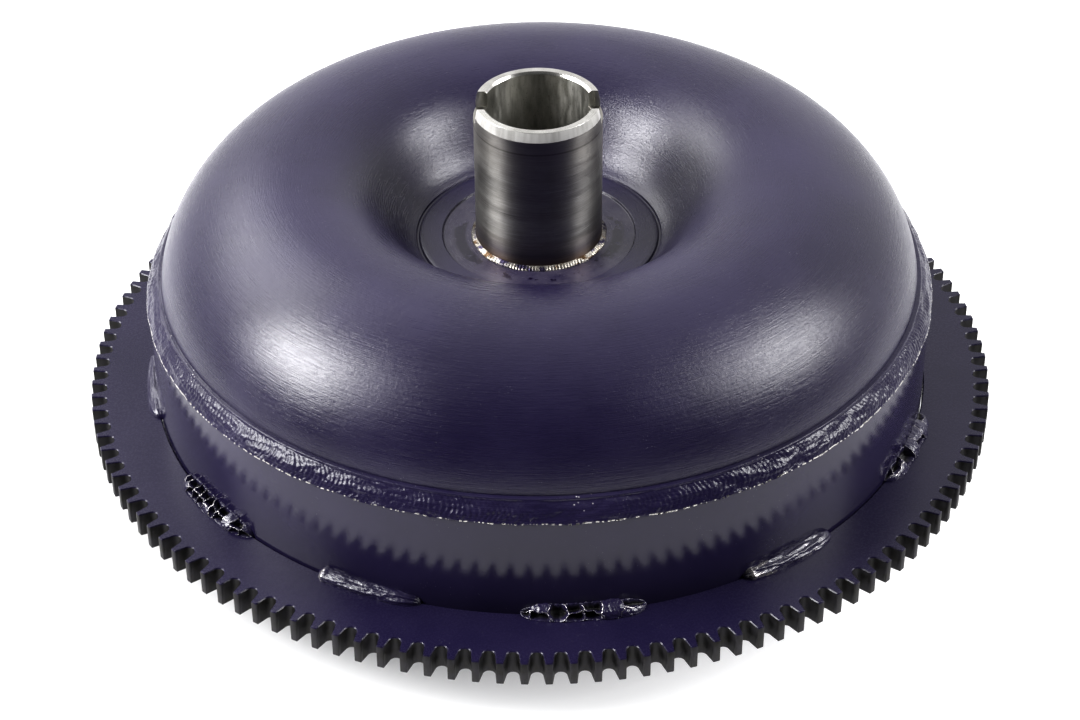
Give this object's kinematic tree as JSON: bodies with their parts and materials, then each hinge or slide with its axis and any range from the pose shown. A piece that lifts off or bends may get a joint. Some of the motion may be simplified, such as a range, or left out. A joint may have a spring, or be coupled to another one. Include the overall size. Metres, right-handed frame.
{
  "type": "torque converter",
  "caption": "Automatic transmission torque converter: welded domed housing with starter ring gear and slotted pump hub; turbine, stator, roller clutch and thrust bearings turn inside.",
  "frame": {"origin": "on the spin axis, at the end face of the crankshaft pilot, which the part stands on", "axes": "+Z along the spin axis from the engine side toward the pump hub; the hub's two slots lie on the X axis"},
  "size_m": [0.3352, 0.3352, 0.1426],
  "materials": {
    "body_paint": "semi-gloss dark purple paint over brushed steel",
    "weld_paint": "dark purple paint over weld bead",
    "gear_paint": "satin dark purple paint over cut steel teeth",
    "hub_steel": "fine turned, oiled, dark",
    "bright_weld": "fused weld metal, part painted",
    "machined_steel": "turned",
    "ground_steel": "ground",
    "sheet_steel": "pressed sheet, oiled",
    "stator_aluminium": "as cast, machined rim",
    "bronze": "satin"
  },
  "bodies": {
    "housing": {"front_cover": "body_paint", "crank_pilot": "machined_steel", "mounting_lug_1": "body_paint", "mounting_lug_2": "body_paint", "mounting_lug_3": "body_paint", "mounting_lug_4": "body_paint", "drain_plug_1": "machined_steel", "drain_plug_2": "machined_steel", "ring_gear": "gear_paint", "ring_gear_weld_1": "weld_paint", "ring_gear_weld_2": "weld_paint", "ring_gear_weld_3": "weld_paint", "ring_gear_weld_4": "weld_paint", "ring_gear_weld_5": "weld_paint", "ring_gear_weld_6": "weld_paint", "ring_gear_weld_7": "weld_paint", "ring_gear_weld_8": "weld_paint", "ring_gear_weld_9": "weld_paint", "ring_gear_weld_10": "weld_paint", "ring_gear_weld_11": "weld_paint", "seam_weld": "weld_paint", "impeller_shell": "body_paint", "impeller_blade_ring": "sheet_steel", "pump_hub": "hub_steel", "hub_weld": "bright_weld", "turbine_thrust_washer": "bronze", "rear_bearing_hub_race": "ground_steel"},
    "turbine": {"turbine_shell": "sheet_steel", "turbine_blade_ring": "sheet_steel", "turbine_hub": "machined_steel", "turbine_rivet_1": "sheet_steel", "turbine_rivet_2": "sheet_steel", "turbine_rivet_3": "sheet_steel", "turbine_rivet_4": "sheet_steel", "turbine_rivet_5": "sheet_steel", "turbine_rivet_6": "sheet_steel", "front_bearing_turbine_race": "ground_steel"},
    "stator": {"stator_wheel": "stator_aluminium", "clutch_cam": "machined_steel", "clutch_cage": "bronze", "stator_front_plate": "sheet_steel", "stator_rear_plate": "sheet_steel", "front_snap_ring": "sheet_steel", "rear_snap_ring": "sheet_steel", "front_bearing_stator_race": "ground_steel", "rear_bearing_stator_race": "ground_steel"},
    "roller_set": {"clutch_roller_1": "ground_steel", "clutch_roller_2": "ground_steel", "clutch_roller_3": "ground_steel", "clutch_roller_4": "ground_steel", "clutch_roller_5": "ground_steel", "clutch_roller_6": "ground_steel", "clutch_roller_7": "ground_steel", "clutch_roller_8": "ground_steel"},
    "clutch_race": {"clutch_inner_race": "machined_steel"},
    "front_bearing": {"front_bearing_cage": "bronze"},
    "rear_bearing": {"rear_bearing_cage": "bronze"}
  },
  "joints": [
    {"name": "turbine_spin", "type": "hinge", "parent": "housing", "child": "turbine", "pos_m": [0, 0, 0.06], "axis": [0, 0, 1], "continuous": true},
    {"name": "stator_spin", "type": "hinge", "parent": "housing", "child": "stator", "pos_m": [0, 0, 0.06], "axis": [0, 0, 1], "continuous": true},
    {"name": "roller_shift", "type": "hinge", "parent": "stator", "child": "roller_set", "pos_m": [0, 0, 0.06], "axis": [0, 0, 1], "range_deg": [-2, 2]},
    {"name": "clutch_race_spin", "type": "hinge", "parent": "stator", "child": "clutch_race", "pos_m": [0, 0, 0.06], "axis": [0, 0, 1], "continuous": true},
    {"name": "front_bearing_spin", "type": "hinge", "parent": "turbine", "child": "front_bearing", "pos_m": [0, 0, 0.06], "axis": [0, 0, 1], "continuous": true},
    {"name": "rear_bearing_spin", "type": "hinge", "parent": "housing", "child": "rear_bearing", "pos_m": [0, 0, 0.06], "axis": [0, 0, 1], "continuous": true}
  ],
  "couplings": [
    {"joint": "rear_bearing_spin", "follows": "stator_spin", "ratio": 0.5}
  ]
}
